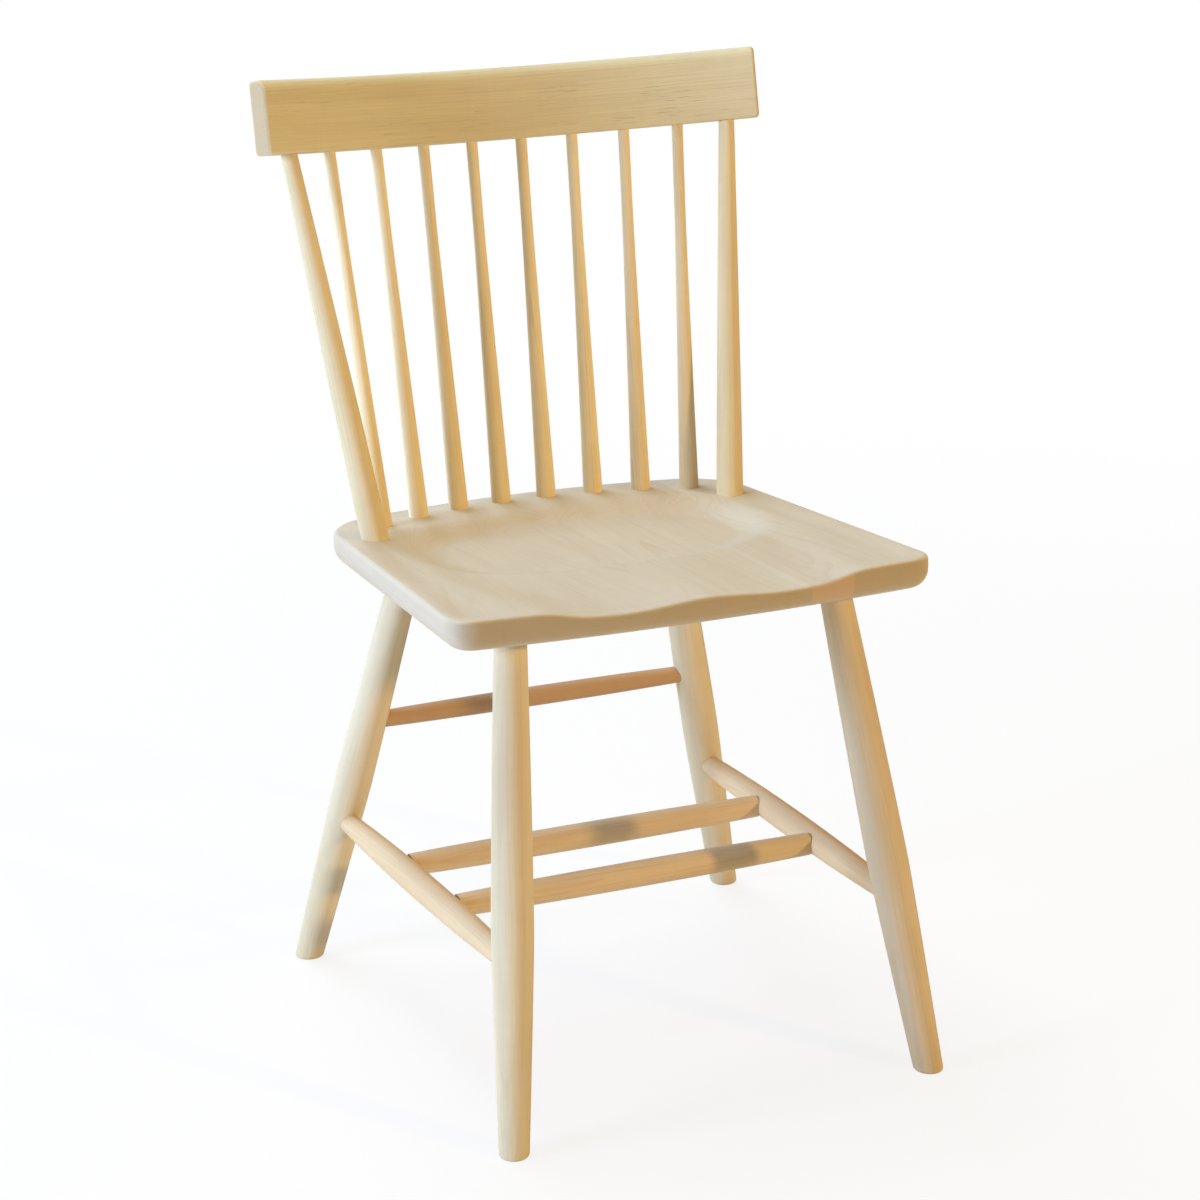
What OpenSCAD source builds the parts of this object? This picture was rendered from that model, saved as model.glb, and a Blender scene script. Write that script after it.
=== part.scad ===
// Spindle-back side chair in pale maple: a saddled plank seat glued up from staves,
// four turned legs with their stretchers, eight spindles between two posts, and a bent crest rail.
// Millimetres, +Z up. The sitter faces -Y. Left is the -X side, as seen from the front.
// Fore-and-aft places are measured from the reference line, which crosses the seat under the sitter.

/* [Seat] */
// Height of the seat's top plane over the floor, at the reference line
seat_h = 458; // [430:1:480]
// Rise of the seat towards the front, in degrees
seat_tilt = 3.6; // [1:0.2:5]
// Thickness of the seat
seat_t = 29; // [27:1:36]
// Width across the front corners
seat_front_w = 464; // [440:1:490]
// Width across the back corners
seat_back_w = 418; // [400:1:440]
// Reference line to the front corners
seat_front_y = 171; // [160:1:185]
// Reference line to the back corners
seat_back_y = 221; // [210:1:230]
// Rise of the front edge's two tangents, which its bow follows
front_crown = 25; // [10:1:40]
// Rise of the back edge's two tangents, which its bow follows
back_crown = 48; // [35:1:60]
// Radius of the front corners in plan
front_corner_r = 26; // [20:1:40]
// Radius of the back corners in plan
back_corner_r = 70; // [50:1:90]
// Radius of the seat's top edge
seat_edge_r = 4.5; // [3:0.5:7]
// How far the underside is rounded in
under_in = 15; // [4:1:16]
// How far up the rounding of the underside reaches
under_up = 17; // [8:1:18]

/* [Saddle] */
// Depth of the carving between the edge and the bowl
rim_d = 2; // [1:0.5:3]
// Depth added between the thighs' outer sides
lap_d = 3.5; // [2:0.5:5]
// Depth of the bowl below that
bowl_d = 7; // [3:0.5:7.5]
// Depth added where the thighs cross the front edge
thigh_d = 3; // [1:0.5:4]
// Height of the low pommel between the thighs
pommel_h = 2; // [0.5:0.5:3]
// Half width of the carving at the front edge
lap_front_x = 158; // [140:1:170]
// Half width of the carving at the bowl
lap_back_x = 186; // [170:1:195]
// Half width of the bowl
bowl_x = 181; // [160:1:195]
// Half length of the bowl
bowl_y = 116; // [90:1:130]
// Reference line to the middle of the bowl
bowl_mid_y = 76; // [70:1:95]
// Flat ledge in front of the spindles' centres
ledge = 23; // [20:1:32]
// Run of the steep wall behind the bowl
back_wall = 54; // [30:1:70]

/* [Staves] */
// Glue joint between the first and second stave, from the middle
joint_1_x = -187; // [-192:1:-184]
// Glue joint between the second and third stave
joint_2_x = -74; // [-77:1:-66]
// Glue joint between the third and fourth stave
joint_3_x = 10; // [0:1:12]
// Glue joint between the fourth and fifth stave
joint_4_x = 100; // [96:1:104]
// Glue joint between the fifth and sixth stave
joint_5_x = 143; // [142:0.5:144]

/* [Legs] */
// Between the centres of the front feet
front_feet_w = 409; // [380:1:430]
// Between the centres of the rear feet
rear_feet_w = 454; // [420:1:470]
// Reference line to the centres of the front feet
front_foot_y = 230; // [210:1:245]
// Reference line to the centres of the rear feet
rear_foot_y = 238; // [225:1:255]
// Between the front legs where they meet the seat
front_top_w = 313; // [300:1:330]
// Between the rear legs where they meet the seat
rear_top_w = 268; // [250:1:276]
// Reference line to the tops of the front legs
front_top_y = 114; // [105:1:130]
// Reference line to the tops of the rear legs
rear_top_y = 183; // [172:1:186]
// Diameter at the foot
leg_foot_d = 26.8; // [25:0.2:30]
// Largest diameter of the front legs
front_belly_d = 37.4; // [34:0.2:40]
// Largest diameter of the rear legs
rear_belly_d = 35.8; // [34:0.2:40]
// Diameter under the seat
leg_top_d = 28.5; // [27:0.5:32]
// Height of the belly along the leg
leg_belly_h = 192; // [170:1:215]
// Eased edge round the foot
foot_ease = 2.5; // [0.5:0.5:3]
// Diameter of the tenon in the seat
leg_tenon_d = 20; // [16:1:20]
// Length of the tenon in the seat
leg_tenon_l = 16; // [12:1:17]

/* [Stretchers] */
// Height of the side stretchers on the front legs
side_front_h = 157.5; // [140:0.5:180]
// Height of the side stretchers on the rear legs
side_rear_h = 145.5; // [130:0.5:170]
// How far the side stretchers run inside the legs' own middles
side_inset = 1; // [0:0.5:4]
// Diameter of the side stretchers at the middle
side_mid_d = 26; // [24:0.5:30]
// Diameter of the side stretchers where they enter the legs
side_end_d = 19; // [16:0.5:20]
// Distance of the front cross rung behind the front legs, along the side stretchers
rung_front_along = 151; // [120:0.5:180]
// Distance of the rear cross rung behind the front legs, along the side stretchers
rung_rear_along = 264.5; // [230:0.5:290]
// Diameter of the cross rungs at the middle
rung_mid_d = 24.5; // [22:0.5:28]
// Diameter of the cross rungs at their ends
rung_end_d = 21; // [18:0.5:22]
// Diameter of the cross rungs' tenons
rung_tenon_d = 13; // [10:0.5:14]
// Height of the rear rung on the rear legs
rear_rung_h = 248; // [220:1:270]
// Diameter of the rear rung at the middle
rear_rung_mid_d = 19.2; // [17:0.2:22]
// Diameter of the rear rung at its ends
rear_rung_end_d = 16.4; // [14:0.2:17]
// Diameter of the rear rung's tenons
rear_rung_tenon_d = 11; // [9:0.5:12]
// How far a tenon reaches past the middle of the piece that holds it
tenon_past = 4; // [2:0.5:6]

/* [Back] */
// Length of the crest rail's front face, end to end in a straight line
rail_w = 492.6; // [470:0.1:520]
// Height of the crest rail
rail_h = 68; // [55:0.1:80]
// Thickness of the crest rail
rail_t = 20.5; // [18:0.5:24]
// Depth of the crest rail's bow
rail_bow = 57.3; // [45:0.1:65]
// Lean of the crest rail, in degrees
rail_lean = 13.1; // [10:0.1:16]
// Reference line to the rail's front face at its ends, along the bottom edge
rail_y = 220.5; // [205:0.5:235]
// Height of the rail's bottom edge at its ends
rail_z = 796.8; // [770:0.1:830]
// Rounding of the rail's front top edge
rail_front_r = 12.5; // [6:0.5:13]
// Rounding of the rail's other long edges
rail_edge_r = 3; // [1:0.5:4]
// Rounding of the rail's corners at its ends
rail_corner_r = 4; // [2:0.5:8]
// Between a post and the spindle next to it, under the rail
post_gap = 44.7; // [40:0.1:50]
// Spacing of the spindles along their arc in the seat
spindle_seat_pitch = 47.1; // [44:0.1:48]
// Radius of the spindles' arc in the seat
spindle_arc_r = 356; // [340:1:420]
// Reference line to the middle of that arc
spindle_arc_y = 226; // [218:1:226]
// Diameter of a spindle at the seat
spindle_seat_d = 18.8; // [16:0.2:20]
// Diameter of a spindle at the rail
spindle_top_d = 10.8; // [9:0.2:12]
// Height over the seat at which a spindle reaches its top diameter
spindle_taper_l = 265; // [220:1:300]
// Half the distance between the posts in the seat
post_seat_x = 182.2; // [174:0.1:183]
// Reference line to the posts in the seat
post_seat_y = 145.5; // [132:0.5:147]
// How far the crest rail runs past the posts at each end
rail_overhang = 24.5; // [20:0.1:36]
// Diameter of a post at the seat
post_seat_d = 25.8; // [23:0.2:27]
// Diameter of a post at the rail
post_top_d = 15; // [14:0.2:17]
// Diameter of a post's tenon in the rail
post_tenon_d = 11; // [9:0.5:12]
// Depth of the sockets in the seat
seat_socket_l = 17; // [12:1:18]
// Depth of the sockets in the rail
rail_socket_l = 30; // [20:1:40]

/* [Fits] */
// Glue gap round a tenon
glue_gap = 0.05; // [0.02:0.01:0.1]
// Room left at the bottom of a socket
socket_room = 1; // [0.5:0.5:2]
// Space left at a shoulder, so that it doesn't press in
shoulder_gap = 0.15; // [0.05:0.05:0.3]

/* [Hidden] */

spindle_count = 8;
round_fn = 96;
turning_steps = 18;
corner_steps = 8;
bow_steps = 12;
side_steps = 8;
edge_steps = 3;
rail_corner_steps = 6;
side_flat = 1;
saddle_rings = 14;
far = 1000;
// Degrees of bent rail that are cut off at each end
end_waste = 1;

// Exponents that shape the turnings: 1 is a straight taper, more is fuller at the thick end
leg_up_power = 1.35;
leg_down_power = 1.15;
stretcher_power = 2.2;
spindle_power = 1.2;
post_power = 1.15;

maple_rail = "#d0c0a0";
maple_post = "#d6c8a8";
maple_spindle = "#dccaa2";
maple_leg = "#dbd1bb";
maple_stretcher = "#dccfb8";
maple_rung = "#d9c294";
stave_tones = ["#d6cab4", "#d5c8b0", "#d2c5ac", "#d4c7af", "#d6bf9c", "#d5c9b2"];

// Vectors
function unit(v) = v / norm(v);
function between(a, b, t) = a + (b - a) * t;
function mirrored(p, side) = [side * p[0], p[1], p[2]];
function ramp(t) = let (c = max(0, min(1, t))) c * c * (3 - 2 * c);

// Fore and aft reach of the whole chair, whose middle is the origin
front_reach = front_foot_y + leg_foot_d / 2;
rail_back_reach = rail_y + (rail_bow + rail_t - rail_edge_r) * cos(rail_lean)
    + (rail_h - rail_edge_r) * sin(rail_lean) + rail_edge_r;
mid_y = (rail_back_reach - front_reach) / 2;

// Point on the seat, given across, back from the reference line and up from its top plane
function seat_point(p) = [p[0],
    p[1] * cos(seat_tilt) + p[2] * sin(seat_tilt),
    seat_h - p[1] * sin(seat_tilt) + p[2] * cos(seat_tilt)];

// Point of the crest rail, given across, back through its thickness and up its face
function rail_point(p) = [p[0],
    rail_y + p[1] * cos(rail_lean) + p[2] * sin(rail_lean),
    rail_z - p[1] * sin(rail_lean) + p[2] * cos(rail_lean)];
rail_r = (pow(rail_w / 2, 2) + pow(rail_bow, 2)) / (2 * rail_bow);
rail_half_angle = asin(rail_w / 2 / rail_r);
rail_mid_r = rail_r + rail_t / 2;
function rail_mid_back(x) = rail_bow - rail_r + sqrt(pow(rail_mid_r, 2) - x * x);

// Ends of each turned piece's axis on the surfaces that it meets
function foot(rear, side) = mirrored(rear ? [rear_feet_w / 2, rear_foot_y, 0]
    : [front_feet_w / 2, -front_foot_y, 0], side);
function leg_top(rear, side) = mirrored(seat_point(rear ? [rear_top_w / 2, rear_top_y, -seat_t]
    : [front_top_w / 2, -front_top_y, -seat_t]), side);
function on_leg(rear, side, h) = let (a = foot(rear, side), b = leg_top(rear, side))
    between(a, b, h / b[2]);
function side_end(rear, side) = on_leg(rear, side, rear ? side_rear_h : side_front_h)
    - [side * side_inset, 0, 0];
side_l = norm(side_end(true, 1) - side_end(false, 1));
side_bare = front_belly_d / 2;
function rung_end(s, side) = between(side_end(false, side), side_end(true, side), s / side_l);
function rear_rung_end(side) = on_leg(true, side, rear_rung_h);

post_top_x = rail_w / 2 - rail_overhang;
spindle_top_pitch = 2 * (post_top_x - post_gap) / (spindle_count - 1);
function spindle_place(i) = i - (spindle_count + 1) / 2;
function spindle_angle(i) = spindle_place(i) * spindle_seat_pitch / spindle_arc_r * 180 / PI;
function spindle_foot(i) = seat_point([spindle_arc_r * sin(spindle_angle(i)),
    spindle_arc_y - spindle_arc_r * (1 - cos(spindle_angle(i))), 0]);
function spindle_head(i) = let (x = spindle_place(i) * spindle_top_pitch)
    rail_point([x, rail_mid_back(x), 0]);
function post_foot(side) = seat_point([side * post_seat_x, post_seat_y, 0]);
function post_head(side) = rail_point([side * post_top_x, rail_mid_back(post_top_x), 0]);

// Diameters along the turnings
function leg_belly_d(rear) = rear ? rear_belly_d : front_belly_d;
function leg_d(rear, h, top_h) = let (belly = leg_belly_d(rear))
    h > leg_belly_h
    ? belly - (belly - leg_top_d)
        * pow(min(1, (h - leg_belly_h) / (top_h - leg_belly_h)), leg_up_power)
    : belly - (belly - leg_foot_d) * pow((leg_belly_h - h) / leg_belly_h, leg_down_power);
function swell_d(mid_d, end_d, t) = mid_d - (mid_d - end_d) * pow(abs(2 * t - 1), stretcher_power);
function side_d(s) = swell_d(side_mid_d, side_end_d, (s - side_bare) / (side_l - 2 * side_bare));
function spindle_d(h) = spindle_top_d + (spindle_seat_d - spindle_top_d)
    * pow(1 - min(1, max(0, h) / spindle_taper_l), spindle_power);
function post_d(t) = post_top_d + (post_seat_d - post_top_d) * (1 - pow(max(0, t), post_power));

// Stands a piece's own Z axis on the line from a to b
module along(a, b) {
    d = b - a;
    translate(a)
        rotate([0, acos(d[2] / norm(d)), atan2(d[1], d[0])])
            children();
}

// Lays the reference line so that the origin is the middle of the chair on the floor
module in_place() {
    translate([0, -mid_y, 0])
        children();
}

// Turned solid from a list of [radius, height] stations
module turned(stations) {
    last = len(stations) - 1;
    rotate_extrude($fn = round_fn)
        polygon(concat([[0, stations[0][1]]], stations, [[0, stations[last][1]]]));
}

// Round socket of depth l past point a, on the line towards b, open by reach on the near side
module socket(a, b, d, l, reach) {
    along(a, b)
        translate([0, 0, -l - socket_room])
            cylinder(d = d + 2 * glue_gap, h = l + socket_room + reach, $fn = round_fn);
}

// Outline of the seat: corners with their tangent lengths, joined by round stretches
front_mid_y = -seat_front_y - front_crown;
back_mid_y = seat_back_y + back_crown;
seat_corners = [[seat_front_w / 2, -seat_front_y], [seat_back_w / 2, seat_back_y], [0, back_mid_y],
    [-seat_back_w / 2, seat_back_y], [-seat_front_w / 2, -seat_front_y], [0, front_mid_y]];
function turn_at(k) = let (n = len(seat_corners), p = seat_corners[(k + n - 1) % n],
    v = seat_corners[k % n], q = seat_corners[(k + 1) % n]) acos(unit(v - p) * unit(q - v));
front_tangent = front_corner_r * tan(turn_at(0) / 2);
back_tangent = back_corner_r * tan(turn_at(1) / 2);
back_half_len = norm(seat_corners[2] - seat_corners[1]);
front_half_len = norm(seat_corners[5] - seat_corners[4]);
corner_tangents = [front_tangent, back_tangent, back_half_len - back_tangent,
    back_tangent, front_tangent, front_half_len - front_tangent];
corner_arc_steps = [corner_steps, corner_steps, bow_steps, corner_steps, corner_steps, bow_steps];

// Circular stretch at corner k, as a weighted curve from tangent point a to tangent point b
function corner_arc(k) = let (n = len(seat_corners), v = seat_corners[k],
    a = v + unit(seat_corners[(k + n - 1) % n] - v) * corner_tangents[k],
    b = v + unit(seat_corners[(k + 1) % n] - v) * corner_tangents[k],
    w = cos(turn_at(k) / 2), m = corner_arc_steps[k])
    [for (i = [0:m]) let (t = i / m)
        (pow(1 - t, 2) * a + 2 * w * t * (1 - t) * v + t * t * b)
        / (pow(1 - t, 2) + 2 * w * t * (1 - t) + t * t)];
function inner_points(a, b, m) = [for (i = [1:m - 1]) between(a, b, i / m)];
function without_last(list) = [for (i = [0:len(list) - 2]) list[i]];

right_front = corner_arc(0);
right_back = corner_arc(1);
back_edge = corner_arc(2);
left_back = corner_arc(3);
left_front = corner_arc(4);
front_edge = corner_arc(5);
seat_outline = concat(right_front,
    inner_points(right_front[corner_steps], right_back[0], side_steps),
    without_last(right_back), without_last(back_edge), left_back,
    inner_points(left_back[corner_steps], left_front[0], side_steps),
    without_last(left_front), without_last(front_edge));
outline_n = len(seat_outline);

// The outline moved inwards by a distance
function inward(j) = let (d = unit(seat_outline[(j + 1) % outline_n]
    - seat_outline[(j + outline_n - 1) % outline_n])) [-d[1], d[0]];
function inset(j, by) = seat_outline[j] + inward(j) * by;

// Depth of the carved saddle at a place on the seat
function seat_half_w(y) = between(seat_front_w / 2, seat_back_w / 2,
    (y + seat_front_y) / (seat_back_y + seat_front_y));
function spindle_row_y(x) = spindle_arc_y - spindle_arc_r
    + sqrt(max(0, pow(spindle_arc_r, 2) - x * x));
function lap_half_x(y) = between(lap_front_x, lap_back_x, ramp((y + seat_front_y) / seat_front_y));
rim_run = 26;
lap_run = 50;
bowl_core = 0.76;
bowl_power = 2.5;
thigh_x = 78;
thigh_spread = 48;
pommel_spread = 42;
function saddle_depth(x, y) =
    let (behind = ramp((spindle_row_y(x) - ledge - y) / back_wall),
        rim = rim_d * ramp((seat_half_w(y) - seat_edge_r - abs(x)) / rim_run)
            * ramp((y + seat_front_y) / rim_run),
        lap = lap_d * ramp((lap_half_x(y) - abs(x)) / lap_run),
        away = pow(pow(abs(x) / bowl_x, bowl_power) + pow(abs(y - bowl_mid_y) / bowl_y, bowl_power),
            1 / bowl_power),
        bowl = bowl_d * ramp((1 - away) / (1 - bowl_core)),
        ahead = ramp(-y / seat_front_y),
        thigh = thigh_d * exp(-pow((abs(x) - thigh_x) / thigh_spread, 2)) * ahead,
        pommel = pommel_h * exp(-pow(x / pommel_spread, 2)) * ahead,
        lip = rim_d * ramp((lap_half_x(y) - abs(x)) / lap_run) * (1 - ramp((y + seat_front_y) / rim_run)))
    behind * (rim + lap + bowl + thigh + lip - pommel);

// Rings of the seat's skin, from the underside up over the edge and in over the saddle
seat_middle = [0, bowl_mid_y / 2];
function edge_dip(j) = let (e = inset(j, seat_edge_r)) saddle_depth(e[0], e[1]);
function under_rise(j) = min(under_up, seat_t - seat_edge_r - edge_dip(j) - side_flat);
function under_ring(k) = let (a = 90 * k / edge_steps)
    [for (j = [0:outline_n - 1]) let (p = inset(j, under_in * (1 - sin(a))))
        [p[0], p[1], -seat_t + under_rise(j) * (1 - cos(a))]];
function top_edge_ring(k) = let (a = 90 * k / edge_steps)
    [for (j = [0:outline_n - 1]) let (p = inset(j, seat_edge_r * (1 - cos(a))))
        [p[0], p[1], -edge_dip(j) - seat_edge_r * (1 - sin(a))]];
function saddle_ring(k) = [for (j = [0:outline_n - 1])
    let (p = between(inset(j, seat_edge_r), seat_middle, k / saddle_rings))
        [p[0], p[1], -saddle_depth(p[0], p[1])]];
seat_rings = concat([for (k = [0:edge_steps]) under_ring(k)],
    [for (k = [0:edge_steps]) top_edge_ring(k)],
    [for (k = [1:saddle_rings - 1]) saddle_ring(k)]);
ring_count = len(seat_rings);
seat_skin = concat([for (ring = seat_rings) each ring],
    [[seat_middle[0], seat_middle[1], -saddle_depth(seat_middle[0], seat_middle[1])]]);
seat_top_index = len(seat_skin) - 1;
function skin_index(r, j) = r * outline_n + j % outline_n;
seat_faces = concat([[for (j = [0:outline_n - 1]) j]],
    [for (r = [0:ring_count - 2], j = [0:outline_n - 1], half = [0, 1])
        half == 0 ? [skin_index(r, j), skin_index(r + 1, j), skin_index(r + 1, j + 1)]
        : [skin_index(r, j), skin_index(r + 1, j + 1), skin_index(r, j + 1)]],
    [for (j = [0:outline_n - 1])
        [skin_index(ring_count - 1, j), seat_top_index, skin_index(ring_count - 1, j + 1)]]);

stave_joints = [-far / 2, joint_1_x, joint_2_x, joint_3_x, joint_4_x, joint_5_x, far / 2];

// The seat as one carved plank, before it is told apart into staves
module seat_plank() {
    translate([0, 0, seat_h])
        rotate([-seat_tilt, 0, 0])
            polyhedron(points = seat_skin, faces = seat_faces);
}

module seat_sockets() {
    for (rear = [false, true], side = [-1, 1])
        socket(leg_top(rear, side), foot(rear, side), leg_tenon_d, leg_tenon_l, leg_tenon_l);
    for (i = [1:spindle_count])
        socket(spindle_foot(i), spindle_head(i), spindle_seat_d, seat_socket_l, seat_socket_l);
    for (side = [-1, 1])
        socket(post_foot(side), post_head(side), post_seat_d, seat_socket_l, seat_socket_l);
}

// One board of the seat, between its two glue joints
module seat_stave(i) {
    color(stave_tones[i - 1])
        in_place()
            difference() {
                intersection() {
                    seat_plank();
                    translate([stave_joints[i - 1], -far / 2, 0])
                        cube([stave_joints[i] - stave_joints[i - 1], far, far]);
                }
                seat_sockets();
            }
}

// One leg, turned with its belly below the middle, cut flat at the floor and against the seat
module leg(rear, side) {
    a = foot(rear, side);
    b = leg_top(rear, side);
    l = norm(b - a);
    stub = leg_foot_d / 2;
    body = [for (k = [0:turning_steps]) let (h = l * k / turning_steps)
        [leg_d(rear, h, l) / 2, h]];
    color(maple_leg)
        in_place()
            difference() {
                union() {
                    difference() {
                        along(a, b)
                            turned(concat([[leg_foot_d / 2, -stub]], body, [[leg_top_d / 2, l + stub]]));
                        on_seat_underside()
                            block_above(-shoulder_gap);
                    }
                    along(a, b)
                        translate([0, 0, l - leg_tenon_l])
                            cylinder(d = leg_tenon_d, h = 2 * leg_tenon_l, $fn = round_fn);
                }
                mirror([0, 0, 1])
                    block_above(0);
                foot_easing(a);
                socket(side_end(rear, side), side_end(!rear, side), side_end_d, tenon_past, front_belly_d);
                if (rear)
                    socket(rear_rung_end(side), rear_rung_end(-side), rear_rung_tenon_d, tenon_past,
                        rear_belly_d);
            }
}

// Everything above a height, to cut a piece off flat
module block_above(z) {
    translate([-far / 2, -far / 2, z])
        cube(far);
}

// Lays a shape out on the flat underside of the seat
module on_seat_underside() {
    translate([0, 0, seat_h])
        rotate([-seat_tilt, 0, 0])
            translate([0, 0, -seat_t])
                children();
}

// What is taken off round the edge of a foot
module foot_easing(centre) {
    reach = 2 * leg_foot_d;
    inner_r = leg_foot_d / 2 - foot_ease;
    translate([centre[0], centre[1], 0])
        rotate_extrude($fn = round_fn)
            polygon([[inner_r, 0], [inner_r, -foot_ease], [reach, -foot_ease], [reach, reach - inner_r]]);
}

// Stretcher between a front and a rear leg, swelling to its middle
module side_stretcher(side) {
    a = side_end(false, side);
    b = side_end(true, side);
    color(maple_stretcher)
        in_place()
            difference() {
                along(a, b)
                    turned(concat([[side_end_d / 2, -tenon_past]],
                        [for (k = [0:turning_steps])
                            let (s = between(side_bare, side_l - side_bare, k / turning_steps))
                                [side_d(s) / 2, s]],
                        [[side_end_d / 2, side_l + tenon_past]]));
                for (s = [rung_front_along, rung_rear_along])
                    socket(rung_end(s, side), rung_end(s, -side), rung_tenon_d, tenon_past, side_mid_d);
            }
}

// Rung between two points on other pieces' axes. Its children hollow its ends to the rounds that it
// meets there, and a tenon runs on into each.
module rung(a, b, bare, mid_d, end_d, tenon_d) {
    l = norm(b - a);
    difference() {
        along(a, b)
            turned(concat([[end_d / 2, 0]],
                [for (k = [0:turning_steps]) let (t = k / turning_steps)
                    [swell_d(mid_d, end_d, t) / 2, between(bare, l - bare, t)]],
                [[end_d / 2, l]]));
        children();
    }
    along(a, b)
        translate([0, 0, -tenon_past])
            cylinder(d = tenon_d, h = l + 2 * tenon_past, $fn = round_fn);
}

// Short stretch of a turned piece from a to b, with the clearance that a rung's end keeps from it
module round_met(a, b, from, to, from_d, to_d) {
    along(a, b)
        translate([0, 0, from])
            cylinder(d1 = from_d + 2 * shoulder_gap, d2 = to_d + 2 * shoulder_gap, h = to - from,
                $fn = round_fn);
}

module cross_rung(s) {
    low = s - rung_end_d;
    high = s + rung_end_d;
    color(maple_rung)
        in_place()
            rung(rung_end(s, -1), rung_end(s, 1), side_d(s) / 2, rung_mid_d, rung_end_d, rung_tenon_d)
                for (side = [-1, 1])
                    round_met(side_end(false, side), side_end(true, side), low, high,
                        side_d(low), side_d(high));
}

module rear_rung() {
    l = norm(leg_top(true, 1) - foot(true, 1));
    s = norm(rear_rung_end(1) - foot(true, 1));
    low = s - rear_rung_end_d;
    high = s + rear_rung_end_d;
    color(maple_rung)
        in_place()
            rung(rear_rung_end(-1), rear_rung_end(1), leg_d(true, s, l) / 2, rear_rung_mid_d,
                rear_rung_end_d, rear_rung_tenon_d)
                for (side = [-1, 1])
                    round_met(foot(true, side), leg_top(true, side), low, high,
                        leg_d(true, low, l), leg_d(true, high, l));
}

// Slim spindle, thick in the seat and thin in the rail
module spindle(i) {
    a = spindle_foot(i);
    b = spindle_head(i);
    l = norm(b - a);
    color(maple_spindle)
        in_place()
            along(a, b)
                turned(concat([[spindle_seat_d / 2, -seat_socket_l]],
                    [for (k = [0:turning_steps]) let (h = spindle_taper_l * k / turning_steps)
                        [spindle_d(h) / 2, h]],
                    [[spindle_top_d / 2, l + rail_socket_l]]));
}

// Stout post at the end of the row, cut to the rail's underside, with a tenon in the rail
module post(side) {
    a = post_foot(side);
    b = post_head(side);
    l = norm(b - a);
    color(maple_post)
        in_place()
            union() {
                difference() {
                    along(a, b)
                        turned(concat([[post_seat_d / 2, -seat_socket_l]],
                            [for (k = [0:turning_steps]) let (t = k / turning_steps) [post_d(t) / 2, t * l]],
                            [[post_top_d / 2, l + post_top_d]]));
                    on_rail_underside()
                        block_above(-shoulder_gap);
                }
                along(a, b)
                    translate([0, 0, l - rail_socket_l])
                        cylinder(d = post_tenon_d, h = 2 * rail_socket_l, $fn = round_fn);
            }
}

// Lays a shape out on the flat underside of the crest rail
module on_rail_underside() {
    translate([0, rail_y, rail_z])
        rotate([-rail_lean, 0, 0])
            children();
}

// Rectangle from the origin with a radius at each corner: low left, low right, high right, high left
function round_corner(p, r, from) = [for (k = [0:rail_corner_steps])
    let (a = from + 90 * k / rail_corner_steps) [p[0] + r * cos(a), p[1] + r * sin(a)]];
function rounded_rectangle(w, h, r) = concat(
    round_corner([r[0], r[0]], r[0], 180),
    round_corner([w - r[1], r[1]], r[1], 270),
    round_corner([w - r[2], h - r[2]], r[2], 0),
    round_corner([r[3], h - r[3]], r[3], 90));

// Crest rail, bent to a round arc and leaning back
module crest_rail() {
    edge = rail_edge_r;
    sweep = rail_half_angle + end_waste;
    color(maple_rail)
        in_place()
            difference() {
                on_rail_underside()
                    intersection() {
                        translate([0, rail_bow - rail_r, 0])
                            rotate([0, 0, 90 - sweep])
                                rotate_extrude(angle = 2 * sweep, $fn = 4 * round_fn)
                                    translate([rail_r, 0])
                                        polygon(rounded_rectangle(rail_t, rail_h,
                                            [edge, edge, edge, rail_front_r]));
                        rail_up_to_right_end();
                        mirror([1, 0, 0])
                            rail_up_to_right_end();
                    }
                for (i = [1:spindle_count])
                    socket(spindle_head(i), spindle_foot(i), spindle_top_d, rail_socket_l, rail_socket_l);
                for (side = [-1, 1])
                    socket(post_head(side), post_foot(side), post_tenon_d, rail_socket_l, rail_socket_l);
            }
}

// Everything that the square cut across the right end leaves, its upper and lower corners rounded
module rail_up_to_right_end() {
    c = rail_corner_r;
    translate([rail_w / 2, 0, 0])
        rotate([0, 0, -rail_half_angle])
            translate([-far, far / 2, 0])
                rotate([90, 0, 0])
                    linear_extrude(far)
                        polygon(rounded_rectangle(far, rail_h, [c, c, c, c]));
}

crest_rail();
post(-1);  // post_left
post(1);  // post_right
spindle(1);  // spindle_1
spindle(2);  // spindle_2
spindle(3);  // spindle_3
spindle(4);  // spindle_4
spindle(5);  // spindle_5
spindle(6);  // spindle_6
spindle(7);  // spindle_7
spindle(8);  // spindle_8
seat_stave(1);  // seat_stave_1
seat_stave(2);  // seat_stave_2
seat_stave(3);  // seat_stave_3
seat_stave(4);  // seat_stave_4
seat_stave(5);  // seat_stave_5
seat_stave(6);  // seat_stave_6
leg(false, -1);  // leg_front_left
leg(false, 1);  // leg_front_right
leg(true, -1);  // leg_rear_left
leg(true, 1);  // leg_rear_right
side_stretcher(-1);  // side_stretcher_left
side_stretcher(1);  // side_stretcher_right
cross_rung(rung_front_along);  // cross_rung_front
cross_rung(rung_rear_along);  // cross_rung_rear
rear_rung();
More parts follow.
